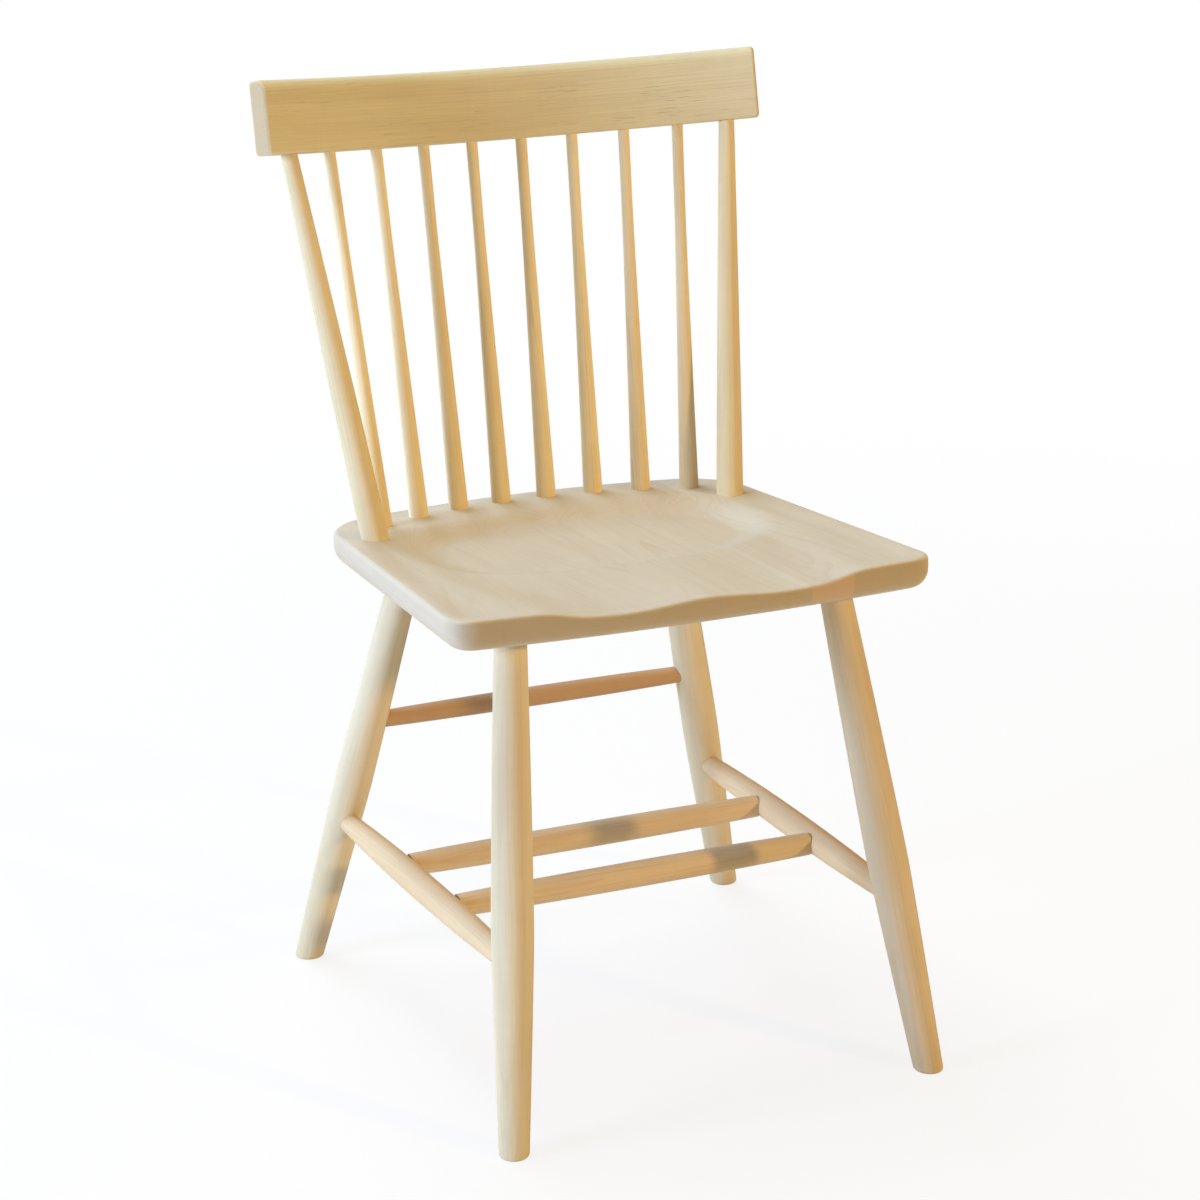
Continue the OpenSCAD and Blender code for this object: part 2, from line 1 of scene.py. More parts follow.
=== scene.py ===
import bpy
import numpy as np
from functools import partial
from math import acos, asin, cos, pi, radians, sin, sqrt, tan
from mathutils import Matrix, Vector


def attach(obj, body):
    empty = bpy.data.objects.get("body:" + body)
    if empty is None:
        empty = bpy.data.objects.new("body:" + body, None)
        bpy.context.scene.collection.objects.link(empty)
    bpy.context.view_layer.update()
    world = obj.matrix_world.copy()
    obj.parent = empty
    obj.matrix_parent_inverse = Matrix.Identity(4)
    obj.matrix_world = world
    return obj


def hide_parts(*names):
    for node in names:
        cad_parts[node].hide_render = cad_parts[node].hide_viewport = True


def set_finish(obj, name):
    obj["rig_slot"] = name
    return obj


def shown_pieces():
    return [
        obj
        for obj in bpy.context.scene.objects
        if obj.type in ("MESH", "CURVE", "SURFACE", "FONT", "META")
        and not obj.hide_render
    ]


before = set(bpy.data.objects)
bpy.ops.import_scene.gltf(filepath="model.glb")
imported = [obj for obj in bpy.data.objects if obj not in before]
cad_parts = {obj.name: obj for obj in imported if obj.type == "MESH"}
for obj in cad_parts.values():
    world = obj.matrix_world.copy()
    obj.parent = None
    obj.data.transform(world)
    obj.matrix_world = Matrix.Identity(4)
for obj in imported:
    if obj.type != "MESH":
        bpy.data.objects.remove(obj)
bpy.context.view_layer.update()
print("solids in the frame:", len(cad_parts))

# Lengths are in millimetres until a mesh is made. Z is up, the sitter faces -Y, left is -X.
# Fore-and-aft places are measured from the line under the sitter that the part's source uses.
referenceY = 33.8429      # that line stands this far ahead of the frame's origin
roundSteps = 96           # flats round a turning or a bore, unless its form says otherwise
fits = {"glueGap": 0.05, "socketRoom": 1, "shoulderGap": 0.15, "tenonEase": 1, "tenonFlat": 0.4}


def vec(*numbers):
    return np.array(numbers, float)


def unit(v):
    return v / np.linalg.norm(v)


def between(a, b, t):
    return a + (b - a) * t


# Eased step from 0 to 1: three t squared less two t cubed
def smoothRamp(t):
    c = np.clip(t, 0, 1)
    return c * c * (3 - 2 * c)


# Mesh from arrays: points in millimetres, rows of four or three corners, moved into the frame
def makeMesh(name, points, quads, tris):
    mesh = bpy.data.meshes.new(name)
    corners = np.concatenate([quads.ravel(), tris.ravel()]).astype(np.int32)
    starts = np.concatenate([4 * np.arange(len(quads)), 4 * len(quads) + 3 * np.arange(len(tris))])
    placed = (points - vec(0, referenceY, 0)) / 1000
    mesh.vertices.add(len(placed))
    mesh.vertices.foreach_set("co", placed.ravel())
    mesh.loops.add(len(corners))
    mesh.loops.foreach_set("vertex_index", corners)
    mesh.polygons.add(len(starts))
    mesh.polygons.foreach_set("loop_start", starts.astype(np.int32))
    mesh.update(calc_edges=True)
    mesh.validate()
    return mesh


# Skin over rings of points: each row of the grid is one closed ring, and a middle point closes each end
def ringSkin(name, grid, startMiddle, endMiddle):
    rows, n = grid.shape[:2]
    row, col = np.meshgrid(np.arange(rows - 1), np.arange(n), indexing="ij")
    here, nextCol = row * n + col, row * n + (col + 1) % n
    quads = np.stack([here, nextCol, nextCol + n, here + n], -1).reshape(-1, 4)
    j = np.arange(n)
    first, last = rows * n, rows * n + 1
    low = np.stack([np.full(n, first), (j + 1) % n, j], -1)
    top = (rows - 1) * n
    high = np.stack([np.full(n, last), top + j, top + (j + 1) % n], -1)
    points = np.concatenate([grid.reshape(-1, 3), startMiddle[None], endMiddle[None]])
    return makeMesh(name, points, quads, np.concatenate([low, high]))


# Surface of revolution: stations of distance along the line from a to b and radius, carried round it
def turnedRings(a, b, stations, around):
    axis = unit(b - a)
    acrossOne = unit(np.cross(axis, vec(0.3, 1, 0.2)))      # from a way that no axis here runs
    acrossTwo = np.cross(axis, acrossOne)
    angle = np.linspace(0, 2 * pi, around, endpoint=False)[:, None]
    spoke = np.cos(angle) * acrossOne + np.sin(angle) * acrossTwo
    s, r = stations[:, 0, None, None], stations[:, 1, None, None]
    return a + s * axis + r * spoke[None]


def turnedMesh(name, a, b, stations, around=roundSteps):
    stations = np.array(stations, float)
    axis = unit(b - a)
    return ringSkin(name, turnedRings(a, b, stations, around),
                    a + stations[0, 0] * axis, a + stations[-1, 0] * axis)


# Closed end of a tenon with its edge taken off, and a flat ring that keeps the shading of its end plain
def tenonEnd(r, s):
    ease, flat = fits["tenonEase"], fits["tenonFlat"]
    return [[s - ease, r], [s, r - ease], [s, r - (ease + flat)]]


def tenonStart(r, s):
    ease, flat = fits["tenonEase"], fits["tenonFlat"]
    return [[s, r - (ease + flat)], [s, r - ease], [s + ease, r]]


# Every piece stands for one of the part's solids, and the whole chair is one body
def newPiece(name, mesh, node, slot):
    piece = bpy.data.objects.new(name, mesh)
    bpy.context.scene.collection.objects.link(piece)
    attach(piece, "root")
    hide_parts(node)
    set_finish(piece, slot)
    return piece


# Bores and trims by solid operations, on a mesh that stays closed
def combine(piece, cutter, operation):
    made = bpy.data.objects.new("cutter", cutter)
    bpy.context.scene.collection.objects.link(made)
    modifier = piece.modifiers.new("cut", "BOOLEAN")
    modifier.operation = operation
    modifier.solver = "MANIFOLD"
    modifier.object = made
    state = bpy.context.evaluated_depsgraph_get()
    result = bpy.data.meshes.new_from_object(piece.evaluated_get(state))
    piece.modifiers.remove(modifier)
    old = piece.data
    piece.data = result
    result.name = piece.name
    bpy.data.meshes.remove(old)
    bpy.data.objects.remove(made)
    bpy.data.meshes.remove(cutter)


# Round bores: closed cylinders from beyond each socket's bottom to outside its mouth. A bore is a
# place on the axis at the mouth, another that it leads to, a diameter, a depth and a reach outside.
def boreMesh(bores):
    around, rings = roundSteps, []
    for a, b, d, deep, reach in bores:
        r = d / 2 + fits["glueGap"]
        rings.append(turnedRings(a, b, vec(-deep - fits["socketRoom"], r, reach, r).reshape(2, 2), around))
    points, quads, tris = [], [], []
    j = np.arange(around)
    for k, ring in enumerate(rings):
        base = k * (2 * around + 2)
        points += [ring.reshape(-1, 3), ring.mean(1)]
        near, far = base + j, base + (j + 1) % around
        quads.append(np.stack([near, far, far + around, near + around], -1))
        low, high = np.full(around, base + 2 * around), np.full(around, base + 2 * around + 1)
        tris.append(np.stack([low, far, near], -1))
        tris.append(np.stack([high, near + around, far + around], -1))
    return makeMesh("bores", np.concatenate(points), np.concatenate(quads), np.concatenate(tris))


# Box between two corners, laid out on the seat or on the rail where it has to follow them
def boxMesh(low, high, laidOut=np.asarray):
    x, y, z = zip(low, high)
    points = laidOut(np.array([[i, j, k] for k in z for j in y for i in x], float))
    quads = np.array([[0, 2, 3, 1], [4, 5, 7, 6], [0, 1, 5, 4], [2, 6, 7, 3], [0, 4, 6, 2], [1, 3, 7, 5]])
    return makeMesh("trim", points, quads, np.zeros((0, 3), int))


def pointsOf(mesh):
    co = np.empty(3 * len(mesh.vertices))
    mesh.vertices.foreach_get("co", co)
    return co.reshape(-1, 3) * 1000 + vec(0, referenceY, 0)


def setAttribute(mesh, name, kind, values):
    attribute = mesh.attributes.new(name, kind, "POINT")
    attribute.data.foreach_set("vector" if kind == "FLOAT_VECTOR" else "value", values.ravel())


# How the wood lies in the pieces, and how dark each turning is drawn from 0 to 1, which for spindle 8 is
# partly painted shade
grainForm = {"sharpAngle": 34, "seed": 100, "askew": 0.012, "pithAway": 46, "apart": 900}
turningWood = {
    "leftPost": {"number": 1, "tone": 0.03}, "rightPost": {"number": 2, "tone": 0.03},
    "spindle1": {"number": 3, "tone": 0.05}, "spindle2": {"number": 4, "tone": 0},
    "spindle3": {"number": 5, "tone": 0.1}, "spindle4": {"number": 6, "tone": 0.02},
    "spindle5": {"number": 7, "tone": 0.08}, "spindle6": {"number": 8, "tone": 0},
    # spindle 8's tone is partly painted shade: it darkens and reddens the whole spindle for the right
    # post's warm shadow at its foot
    "spindle7": {"number": 9, "tone": 0.2}, "spindle8": {"number": 10, "tone": 0.3},
    "frontLegLeft": {"number": 12, "tone": 0}, "frontLegRight": {"number": 13, "tone": 0.2},
    "rearLegLeft": {"number": 14, "tone": 0}, "rearLegRight": {"number": 15, "tone": 0},
    "leftStretcher": {"number": 17, "tone": 0.02}, "rightStretcher": {"number": 18, "tone": 0.03},
    "frontCrossRung": {"number": 19, "tone": 0.04}, "rearCrossRung": {"number": 20, "tone": 0.08},
    "rearRung": {"number": 21, "tone": 1.0},
}


# Wood lies in a piece as it lay in the tree. grainPlace is millimetres across, out from the pith and
# along the grain, grainWay is the grain's direction, and the tone attribute says how dark the piece is
# drawn: its wood's own tone, and on spindle 8 painted shade as well.
def giveGrain(piece, place, way, tone, joints=None):
    mesh = piece.data
    count = len(mesh.vertices)
    setAttribute(mesh, "grainPlace", "FLOAT_VECTOR", place)
    setAttribute(mesh, "grainWay", "FLOAT_VECTOR", np.broadcast_to(way, (count, 3)).copy())
    setAttribute(mesh, "toneAndShade", "FLOAT", np.full(count, float(tone)))
    if joints is not None:
        setAttribute(mesh, "jointNear", "FLOAT_VECTOR", joints)
    mesh.shade_smooth()
    mesh.set_sharp_from_angle(angle=radians(grainForm["sharpAngle"]))


# Straight grain along a turning's axis, with the pith outside it, a little askew
def turningGrain(piece, a, b, pithAway=grainForm["pithAway"]):
    g, wood = grainForm, turningWood[piece.name]
    random = np.random.default_rng(g["seed"] + wood["number"])
    angle, lean = random.uniform(0, 2 * pi), random.uniform(-g["askew"], g["askew"], 2)
    axis = unit(b - a)
    acrossOne = unit(np.cross(axis, vec(cos(angle), sin(angle), 0.1)))      # nearly level
    acrossTwo = np.cross(axis, acrossOne)
    q = pointsOf(piece.data) - a
    along = q @ axis
    place = np.stack([q @ acrossOne + lean[0] * along, q @ acrossTwo + pithAway + lean[1] * along,
                      along + g["apart"] * wood["number"]], -1)
    giveGrain(piece, place, axis, wood["tone"])


# A turning whose body is cut off along a flat face that it meets on a slant, with its tenon put back
def cutOff(piece, laidOut, a, b, tenonD, tenonL):
    wide, high = 400, 200       # well past the turning
    box = boxMesh([-wide, -wide, -fits["shoulderGap"]], [wide, wide, high], laidOut)
    combine(piece, box, "DIFFERENCE")
    l, r = np.linalg.norm(b - a), tenonD / 2
    tenon = turnedMesh("tenon", a, b, tenonStart(r, l - tenonL) + tenonEnd(r, l + tenonL))
    combine(piece, tenon, "UNION")


# Seat: boards glued edge to edge, then carved as one plank that tilts back
seatForm = {
    "height": 458, "tilt": 3.6, "thick": 29,
    "frontW": 464, "backW": 418, "frontY": 171, "backY": 221,
    "frontCrown": 25, "backCrown": 48, "frontCornerR": 26, "backCornerR": 70,
    "edgeR": 4.5, "underIn": 15, "underUp": 17, "flatIn": 1, "sideFlat": 1, "socketL": 17,
    "joints": [-187, -74, 10, 100, 143], "warmBoard": 5,
    "cornerSteps": 28, "backCornerSteps": 56, "bowSteps": 130, "sideSteps": 80,
    "underSteps": 10, "edgeSteps": 9, "saddleRings": 96,
}


# A place on the seat: turned by the seat's tilt about the line under the sitter, then lifted
def seatPoint(p):
    t = radians(seatForm["tilt"])
    p = np.asarray(p, float)
    x, y, z = p[..., 0], p[..., 1], p[..., 2]
    return np.stack([x, y * cos(t) + z * sin(t), seatForm["height"] - y * sin(t) + z * cos(t)], -1)


def underSeat(p):
    return seatPoint(p - vec(0, 0, seatForm["thick"]))


# Seat outline: round stretches between straight sides, each a weighted curve of the second degree
def seatOutline():
    f = seatForm
    frontMid, backMid = -f["frontY"] - f["frontCrown"], f["backY"] + f["backCrown"]
    corners = np.array([[f["frontW"] / 2, -f["frontY"]], [f["backW"] / 2, f["backY"]], [0, backMid],
                        [-f["backW"] / 2, f["backY"]], [-f["frontW"] / 2, -f["frontY"]], [0, frontMid]])

    def turnAt(k):
        p, v, q = corners[k - 1], corners[k], corners[(k + 1) % 6]
        return acos(unit(v - p) @ unit(q - v))

    front, back = f["frontCornerR"] * tan(turnAt(0) / 2), f["backCornerR"] * tan(turnAt(1) / 2)
    backHalf, frontHalf = np.linalg.norm(corners[2] - corners[1]), np.linalg.norm(corners[5] - corners[4])
    tangents = [front, back, backHalf - back, back, front, frontHalf - front]

    def arc(k, steps):
        p, v, q = corners[k - 1], corners[k], corners[(k + 1) % 6]
        a, b, w = v + unit(p - v) * tangents[k], v + unit(q - v) * tangents[k], cos(turnAt(k) / 2)
        t = np.linspace(0, 1, steps + 1)[:, None]
        weighted = (1 - t) ** 2 * a + 2 * w * t * (1 - t) * v + t * t * b
        return weighted / ((1 - t) ** 2 + 2 * w * t * (1 - t) + t * t)

    def line(a, b):
        return between(a, b, (np.arange(1, f["sideSteps"]) / f["sideSteps"])[:, None])

    rightFront, rightBack = arc(0, f["cornerSteps"]), arc(1, f["backCornerSteps"])
    leftBack, leftFront = arc(3, f["backCornerSteps"]), arc(4, f["cornerSteps"])
    return np.concatenate([rightFront, line(rightFront[-1], rightBack[0]), rightBack[:-1],
                           arc(2, f["bowSteps"])[:-1], leftBack, line(leftBack[-1], leftFront[0]),
                           leftFront[:-1], arc(5, f["bowSteps"])[:-1]])


saddleForm = {
    "rimDeep": 2, "lapDeep": 3.5, "bowlDeep": 7, "thighDeep": 3, "pommelHigh": 2,
    "lapFrontX": 158, "lapBackX": 186, "bowlX": 181, "bowlY": 116, "bowlMidY": 76, "bowlPower": 2.5,
    "ledge": 23, "backWall": 54, "rimRun": 26, "lapRun": 50, "bowlCore": 0.76,
    "thighX": 78, "thighSpread": 48, "pommelSpread": 42,
}


# Carving of the saddle: smooth ramps in from the rim, a bowl, two hollows for the thighs and a low pommel
def saddleDepth(x, y):
    f, g = seatForm, saddleForm
    arcY, arcR = spindleForm["arcY"], spindleForm["arcR"]
    halfW = between(f["frontW"] / 2, f["backW"] / 2, (y + f["frontY"]) / (f["backY"] + f["frontY"]))
    rowY = arcY - arcR + np.sqrt(np.maximum(0, arcR ** 2 - x * x))     # the row of spindles
    lapX = between(g["lapFrontX"], g["lapBackX"], smoothRamp((y + f["frontY"]) / f["frontY"]))
    inFront = smoothRamp((rowY - g["ledge"] - y) / g["backWall"])
    fromFront = smoothRamp((y + f["frontY"]) / g["rimRun"])
    rim = g["rimDeep"] * smoothRamp((halfW - f["edgeR"] - np.abs(x)) / g["rimRun"]) * fromFront
    lapShare = smoothRamp((lapX - np.abs(x)) / g["lapRun"])
    power = g["bowlPower"]
    sideways, lengthways = np.abs(x / g["bowlX"]), np.abs((y - g["bowlMidY"]) / g["bowlY"])
    away = (sideways ** power + lengthways ** power) ** (1 / power)
    bowl = g["bowlDeep"] * smoothRamp((1 - away) / (1 - g["bowlCore"]))
    ahead = smoothRamp(-y / f["frontY"])
    thigh = g["thighDeep"] * np.exp(-((np.abs(x) - g["thighX"]) / g["thighSpread"]) ** 2) * ahead
    pommel = g["pommelHigh"] * np.exp(-(x / g["pommelSpread"]) ** 2) * ahead
    lip = g["rimDeep"] * lapShare * (1 - fromFront)
    return inFront * (rim + g["lapDeep"] * lapShare + bowl + thigh + lip - pommel)


# Seat skin: rings of the outline drawn in, up the rounded underside, over the edge and across the saddle
def seatRings():
    f = seatForm
    outline = seatOutline()
    way = np.roll(outline, -1, 0) - np.roll(outline, 1, 0)
    way /= np.linalg.norm(way, axis=1)[:, None]
    inward = np.stack([-way[:, 1], way[:, 0]], -1)
    inner = outline + inward * f["edgeR"]
    dip = saddleDepth(inner[:, 0], inner[:, 1])
    rise = np.minimum(f["underUp"], f["thick"] - f["edgeR"] - dip - f["sideFlat"])
    middle = vec(0, saddleForm["bowlMidY"] / 2)

    def ring(by, z):
        return np.column_stack([outline + inward * by, np.broadcast_to(z, len(outline))])

    rings = [ring(f["underIn"] + f["flatIn"], -f["thick"])]
    rings += [ring(f["underIn"] * (1 - sin(a)), -f["thick"] + rise * (1 - cos(a)))
              for a in np.linspace(0, pi / 2, f["underSteps"] + 1)]
    rings += [ring(f["edgeR"] * (1 - cos(a)), -dip - f["edgeR"] * (1 - sin(a)))
              for a in np.linspace(0, pi / 2, f["edgeSteps"] + 1)]
    for t in np.linspace(0, 1, f["saddleRings"] + 1)[1:-1]:
        p = between(inner, middle, t)
        rings.append(np.column_stack([p, -saddleDepth(p[:, 0], p[:, 1])]))
    top = vec(*middle, -float(saddleDepth(middle[0], middle[1])))
    return np.array(rings), vec(*middle, -f["thick"]), top


# Where each board's pith lay: across, depth under the top, and how it drifts along the board
boardWood = {
    1: {"number": 41, "pithX": -215, "deep": 120, "driftX": 0.03, "driftZ": 0.02, "tone": 0.03},
    2: {"number": 42, "pithX": -120, "deep": 62, "driftX": 0.04, "driftZ": -0.03, "tone": 0.0},
    3: {"number": 43, "pithX": -22, "deep": 74, "driftX": -0.05, "driftZ": 0.035, "tone": 0.04},
    4: {"number": 44, "pithX": 48, "deep": 58, "driftX": 0.03, "driftZ": -0.02, "tone": 0.0},
    5: {"number": 45, "pithX": 150, "deep": 90, "driftX": 0.05, "driftZ": 0.03, "tone": 0.12},
    6: {"number": 46, "pithX": 215, "deep": 95, "driftX": -0.03, "driftZ": 0.02, "tone": 0.0},
}
boardCut = {"side": 600, "front": -400, "back": 500, "low": 300, "high": 600}     # well past the seat


# Each board is the whole seat's skin, cut off at the board's two glue joints
def makeSeat():
    f, cut = seatForm, boardCut
    rings, under, top = seatRings()
    edges = [-cut["side"], *f["joints"], cut["side"]]
    bores = [[legTop(rear, side), footOf(rear, side), legForm["tenonD"], legForm["tenonL"],
              legForm["tenonL"]] for rear in (False, True) for side in (-1, 1)]
    bores += [[spindleFoot(i), spindleHead(i), spindleForm["seatD"], f["socketL"], f["socketL"]]
              for i in spindleNumbers]
    bores += [[postFoot(side), postHead(side), postForm["seatD"], f["socketL"], f["socketL"]]
              for side in (-1, 1)]
    tilt = radians(f["tilt"])
    for i, wood in boardWood.items():
        left, right = edges[i - 1], edges[i]
        mesh = ringSkin(f"seatBoard{i}", seatPoint(rings), seatPoint(under), seatPoint(top))
        piece = newPiece(f"seatBoard{i}", mesh, f"seat_stave_{i}",
                         "seat_maple_warm" if i == f["warmBoard"] else "seat_maple")
        combine(piece, boxMesh([left, cut["front"], cut["low"]], [right, cut["back"], cut["high"]]),
                "INTERSECT")
        combine(piece, boreMesh(bores), "DIFFERENCE")
        p = pointsOf(piece.data)
        y = p[:, 1] * cos(tilt) - (p[:, 2] - f["height"]) * sin(tilt)
        z = p[:, 1] * sin(tilt) + (p[:, 2] - f["height"]) * cos(tilt)
        place = np.stack([p[:, 0] - wood["pithX"] - wood["driftX"] * y,
                          z + wood["deep"] - wood["driftZ"] * y,
                          y + grainForm["apart"] * wood["number"]], -1)
        near = np.stack([p[:, 0] - left, right - p[:, 0], np.zeros(len(p))], -1)
        giveGrain(piece, place, vec(0, cos(tilt), -sin(tilt)), wood["tone"], near)


# Crest rail: bent to an arc, leaning back, with its pith far below so that the rings run along the face
railForm = {
    "wide": 492.6, "high": 68, "thick": 20.5, "bow": 57.3, "lean": 13.1, "y": 220.5, "z": 796.8,
    "frontR": 12.5, "edgeR": 3, "cornerR": 4, "arrisR": 3, "overhang": 24.5, "socketL": 30,
    "pithOut": 25, "pithDown": 130, "grainStart": 5000,
    "flatIn": 0.5, "endSteps": 12, "bendSteps": 150, "cornerSteps": 9,
}


# A place on the crest rail: across, back and up its face, turned by its lean about its bottom edge
def railPoint(p):
    t = radians(railForm["lean"])
    p = np.asarray(p, float)
    x, y, z = p[..., 0], p[..., 1], p[..., 2]
    return np.stack([x, railForm["y"] + y * cos(t) + z * sin(t),
                     railForm["z"] - y * sin(t) + z * cos(t)], -1)


# Radius of the rail's arc from its width and bow, and half the angle that it spans
railR = ((railForm["wide"] / 2) ** 2 + railForm["bow"] ** 2) / (2 * railForm["bow"])
railHalfAngle = asin(railForm["wide"] / 2 / railR)


# How far back the middle of the rail's thickness lies at a place across it
def railMidBack(x):
    return railForm["bow"] - railR + sqrt((railR + railForm["thick"] / 2) ** 2 - x * x)


# The rail is a rectangle with rounded corners carried round the arc, drawn in at both ends by the roundings
# of its end corners. The large rounding tightens by as much as the rail draws in.
def makeRail(name, node):
    f = railForm
    t, h, c, e = f["thick"], f["high"], f["cornerR"], f["arrisR"]
    midR = railR + t / 2
    d = c * (1 - np.cos(np.linspace(0, pi / 2, f["endSteps"])))
    lessHigh = c - np.sqrt(np.maximum(0, c * c - (c - d) ** 2))
    lessThick = e - np.sqrt(np.maximum(0, e * e - np.maximum(0, e - d) ** 2))
    endAngle = railHalfAngle - d / midR
    along = np.linspace(-endAngle[-1], endAngle[-1], f["bendSteps"])

    # the same at both ends: a flat ring inside the end, the rounding, and the middle left as it is
    def atBothEnds(flat, rounding, middle, sign=1):
        return np.concatenate([[flat], rounding[:-1], middle, sign * rounding[:-1][::-1], [sign * flat]])

    angle = atBothEnds(-railHalfAngle, -endAngle, along, -1)
    trimHigh = atBothEnds(c + f["flatIn"], lessHigh, 0 * along)[:, None]
    trimThick = atBothEnds(e + f["flatIn"], lessThick, 0 * along)[:, None]
    steps = f["cornerSteps"]
    turn = np.concatenate([np.linspace(k, k + pi / 2, steps) for k in (pi, 1.5 * pi, 0, pi / 2)])
    r = np.repeat([f["edgeR"], f["edgeR"], f["edgeR"], f["frontR"]], steps)[None]
    r = r - (r > f["edgeR"]) * trimThick
    right, upper = np.repeat([0, 1, 1, 0], steps), np.repeat([0, 0, 1, 1], steps)
    n = right * t + (1 - 2 * right) * r + r * np.cos(turn)
    w = upper * h + (1 - 2 * upper) * r + r * np.sin(turn)
    n = n + (1 - 2 * right) * trimThick
    w = w + (1 - 2 * upper) * trimHigh
    grid = railPoint(np.stack([(railR + n) * np.sin(angle)[:, None],
                               f["bow"] - railR + (railR + n) * np.cos(angle)[:, None], w], -1))
    piece = newPiece(name, ringSkin(name, grid, grid[0].mean(0), grid[-1].mean(0)), node, "rail_maple")
    bores = [[spindleHead(i), spindleFoot(i), spindleForm["topD"], f["socketL"], f["socketL"]]
             for i in spindleNumbers]
    bores += [[postHead(side), postFoot(side), postForm["tenonD"], f["socketL"], f["socketL"]]
              for side in (-1, 1)]
    combine(piece, boreMesh(bores), "DIFFERENCE")
    p = pointsOf(piece.data)
    lean = radians(f["lean"])
    v = (p[:, 1] - f["y"]) * cos(lean) - (p[:, 2] - f["z"]) * sin(lean)
    w = (p[:, 1] - f["y"]) * sin(lean) + (p[:, 2] - f["z"]) * cos(lean)
    bend = np.arctan2(p[:, 0], v - f["bow"] + railR)
    out = np.hypot(p[:, 0], v - f["bow"] + railR) - railR
    place = np.stack([out + f["pithOut"], w + f["pithDown"], bend * midR + f["grainStart"]], -1)
    way = np.stack([np.cos(bend), -np.sin(bend) * cos(lean), np.sin(bend) * sin(lean)], -1)
    giveGrain(piece, place, way, 0)


# Legs: splayed both ways, with their belly below the middle, a flat foot and a tenon in the seat
legForm = {
    "frontFeetW": 409, "rearFeetW": 454, "frontFootY": 230, "rearFootY": 238,
    "frontTopW": 313, "rearTopW": 268, "frontTopY": 114, "rearTopY": 183,
    "footD": 26.8, "frontBellyD": 37.4, "rearBellyD": 35.8, "topD": 28.5, "bellyHigh": 192,
    "footEase": 2.5, "flatIn": 0.5, "tenonD": 20, "tenonL": 16, "upPower": 1.35, "downPower": 1.15,
    "pithAway": 60, "slantFrom": 30, "levelSteps": 8, "easeSteps": 9, "steps": 70, "around": 112,
}


# Ends of a leg's axis, at the floor and at the seat's underside
def footOf(rear, side):
    f = legForm
    return vec(side * f["rearFeetW"] / 2, f["rearFootY"], 0) if rear \
        else vec(side * f["frontFeetW"] / 2, -f["frontFootY"], 0)


def legTop(rear, side):
    f = legForm
    x, y = (f["rearTopW"] / 2, f["rearTopY"]) if rear else (f["frontTopW"] / 2, -f["frontTopY"])
    return seatPoint([side * x, y, -seatForm["thick"]])


# Place on a leg's axis at a height above the floor
def onLeg(rear, side, high):
    a, b = footOf(rear, side), legTop(rear, side)
    return between(a, b, high / b[2])


# Diameter at a height along a leg: power curves up and down from its belly
def legD(rear, h, topH):
    f = legForm
    belly = f["rearBellyD" if rear else "frontBellyD"]
    up = np.clip((h - f["bellyHigh"]) / (topH - f["bellyHigh"]), 0, 1)
    down = np.clip((f["bellyHigh"] - h) / f["bellyHigh"], 0, 1)
    return belly - (belly - f["topD"]) * up ** f["upPower"] - (belly - f["footD"]) * down ** f["downPower"]


# A leg is turned about its slanted axis, while its lowest rings are levelled into the flat foot
def makeLeg(name, node, rear, side):
    f = legForm
    a, b = footOf(rear, side), legTop(rear, side)
    l = np.linalg.norm(b - a)
    axis = unit(b - a)
    body = [[h, float(legD(rear, h, l)) / 2] for h in np.linspace(f["slantFrom"], l, f["steps"])]
    upper = body + [[l + f["footD"] / 2, f["topD"] / 2]]
    grid = turnedRings(a, b, np.array(upper), f["around"])
    spoke = (grid[0] - grid[0].mean(0)) / body[0][1]
    footR, ease = f["footD"] / 2, f["footEase"]

    def levelRing(z, inset):
        s = (z - footR * spoke[:, 2]) / axis[2]
        r = legD(rear, np.maximum(s, 0), l)[:, None] / 2
        s = (z - r[:, 0] * spoke[:, 2]) / axis[2]
        ring = a + s[:, None] * axis + r * spoke
        inward = a + axis * z / axis[2] - ring
        return ring + inward / np.linalg.norm(inward, axis=1)[:, None] * inset, s

    low = [levelRing(0, ease + f["flatIn"])[0]]
    low += [levelRing(ease * (1 - sin(k)), ease * (1 - cos(k)))[0]
            for k in np.linspace(pi / 2, 0, f["easeSteps"])]
    startS = levelRing(ease, 0)[1]
    for t in np.linspace(0, 1, f["levelSteps"])[1:-1]:
        s = between(startS, f["slantFrom"], t)[:, None]
        low.append(a + s * axis + legD(rear, np.maximum(s, 0), l) / 2 * spoke)
    mesh = ringSkin(name, np.concatenate([np.array(low), grid]), a, a + upper[-1][0] * axis)
    piece = newPiece(name, mesh, node, "leg_maple")
    cutOff(piece, underSeat, a, b, f["tenonD"], f["tenonL"])
    past = stretcherForm["pastMiddle"]
    bores = [[sideEnd(rear, side), sideEnd(not rear, side), stretcherForm["endD"], past, f["frontBellyD"]]]
    if rear:
        bores.append([rearRungEnd(side), rearRungEnd(-side), rungForm["rearTenonD"], past, f["rearBellyD"]])
    combine(piece, boreMesh(bores), "DIFFERENCE")
    turningGrain(piece, a, b, f["pithAway"])


# Side stretchers: their straight ends sit in the legs, and power curves swell them to their middles
stretcherForm = {
    "frontHigh": 157.5, "rearHigh": 145.5, "inset": 1, "midD": 26, "endD": 19, "power": 2.2,
    "pastMiddle": 4, "steps": 70,
}


# Ends of a side stretcher's axis, a little inside the axes of the legs
def sideEnd(rear, side):
    high = stretcherForm["rearHigh" if rear else "frontHigh"]
    return onLeg(rear, side, high) - vec(side * stretcherForm["inset"], 0, 0)


sideL = np.linalg.norm(sideEnd(True, 1) - sideEnd(False, 1))
sideBare = legForm["frontBellyD"] / 2


